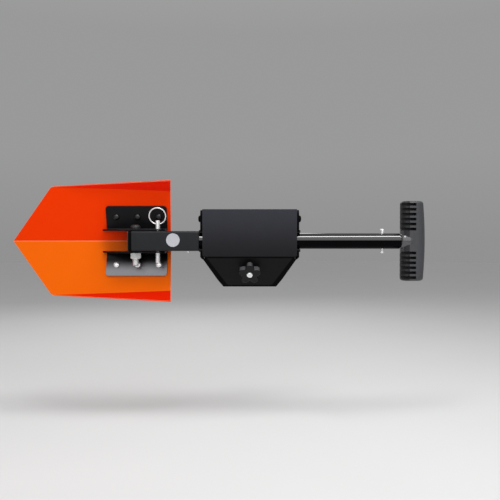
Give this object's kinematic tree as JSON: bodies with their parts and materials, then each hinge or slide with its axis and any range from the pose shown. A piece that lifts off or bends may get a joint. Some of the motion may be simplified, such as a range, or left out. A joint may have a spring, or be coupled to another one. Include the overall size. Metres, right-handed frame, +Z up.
{
  "type": "folding shovel in a wall clamp",
  "caption": "Collapsible folding shovel with a pointed creased blade and a ribbed T-grip, held level in a hinged sheet-steel wall clamp that a star knob closes.",
  "frame": {"origin": "On the wall face of the back bracket, level with the shaft's axis and midway between the cheeks.", "axes": "+X along the shaft towards the grip, +Y into the wall, +Z up."},
  "size_m": [0.799, 0.0806, 0.2314],
  "materials": {
    "orange_enamel": "glossy orange powder coat on folded steel sheet",
    "powder_coat": "satin black powder coat with a fine texture",
    "satin_black": "smooth satin black coat",
    "gloss_black": "gloss black anodised tube",
    "zinc_steel": "bright zinc-plated steel",
    "grip_plastic": "dark grey moulded plastic with a fine grain",
    "black_plastic": "black moulded plastic",
    "rubber": "black rubber",
    "disc_grey": "pale grey satin disc, bare"
  },
  "bodies": {
    "clamp_and_shaft": {"back_bracket": "powder_coat", "notch_liner_left": "rubber", "notch_liner_right": "rubber", "cover_hinge_pin_left": "zinc_steel", "cover_hinge_pin_right": "zinc_steel", "cover_hinge_nut_left": "zinc_steel", "cover_hinge_nut_right": "zinc_steel", "weld_nut": "zinc_steel", "hinge_tube": "satin_black", "tube_end_plug": "black_plastic", "pivot_spacer": "zinc_steel", "blank_disc": "disc_grey", "socket_bush": "black_plastic", "outer_shaft": "gloss_black", "guide_bush": "black_plastic", "socket_spring": "zinc_steel"},
    "blade_head": {"blade": "orange_enamel", "upper_bracket": "powder_coat", "lower_bracket": "powder_coat", "bracket_bolt_1": "zinc_steel", "bracket_bolt_2": "zinc_steel", "bracket_bolt_3": "zinc_steel", "bracket_bolt_4": "zinc_steel", "bracket_bolt_5": "zinc_steel", "bracket_bolt_6": "zinc_steel", "bracket_nut_1": "zinc_steel", "bracket_nut_2": "zinc_steel", "bracket_nut_3": "zinc_steel", "bracket_nut_4": "zinc_steel", "bracket_nut_5": "zinc_steel", "bracket_nut_6": "zinc_steel", "pivot_washer": "powder_coat", "pivot_bolt": "zinc_steel", "pivot_nut": "zinc_steel"},
    "pin": {"lock_pin": "zinc_steel"},
    "ring": {"pull_ring": "zinc_steel"},
    "handle": {"inner_shaft": "gloss_black", "slide_bush": "black_plastic", "snap_spring": "zinc_steel", "grip": "grip_plastic", "grip_pin": "zinc_steel"},
    "button_top": {"snap_button_top": "zinc_steel"},
    "button_bottom": {"snap_button_bottom": "zinc_steel"},
    "button_socket": {"socket_button": "zinc_steel"},
    "cover_panel": {"cover": "powder_coat", "cover_pad": "rubber"},
    "knob": {"star_knob": "black_plastic", "knob_washer": "zinc_steel", "clamp_stud": "zinc_steel", "stud_clip": "zinc_steel"}
  },
  "joints": [
    {"name": "blade_fold", "type": "hinge", "parent": "clamp_and_shaft", "child": "blade_head", "pos_m": [-0.218, -0.046, 0], "axis": [0, 0, 1], "range_deg": [0, 90]},
    {"name": "pin_pull", "type": "slide", "parent": "blade_head", "child": "pin", "axis": [0, 0, 1], "range_m": [0, 0.063]},
    {"name": "ring_swing", "type": "hinge", "parent": "pin", "child": "ring", "pos_m": [-0.174, -0.055, 0.032], "axis": [1, 0, 0], "range_deg": [0, 70]},
    {"name": "handle_slide", "type": "slide", "parent": "clamp_and_shaft", "child": "handle", "axis": [1, 0, 0], "range_m": [0, 0.3]},
    {"name": "button_top_press", "type": "slide", "parent": "handle", "child": "button_top", "axis": [0, 0, -1], "range_m": [0, 0.0082], "stiffness_N_per_m": 500, "springref_m": -0.004, "deforming": ["snap_spring"]},
    {"name": "button_bottom_press", "type": "slide", "parent": "handle", "child": "button_bottom", "axis": [0, 0, 1], "range_m": [0, 0.0082], "stiffness_N_per_m": 500, "springref_m": -0.004, "deforming": ["snap_spring"]},
    {"name": "socket_button_press", "type": "slide", "parent": "clamp_and_shaft", "child": "button_socket", "axis": [0, 0, 1], "range_m": [0, 0.0065], "stiffness_N_per_m": 500, "springref_m": -0.004, "deforming": ["socket_spring"]},
    {"name": "cover_swing", "type": "hinge", "parent": "clamp_and_shaft", "child": "cover_panel", "pos_m": [0, -0.052, 0.042], "axis": [-1, 0, 0], "range_deg": [0, 95]},
    {"name": "knob_turn", "type": "hinge", "parent": "cover_panel", "child": "knob", "pos_m": [0, -0.05372, -0.05305], "axis": [0, -0.848, -0.5299], "continuous": true}
  ]
}
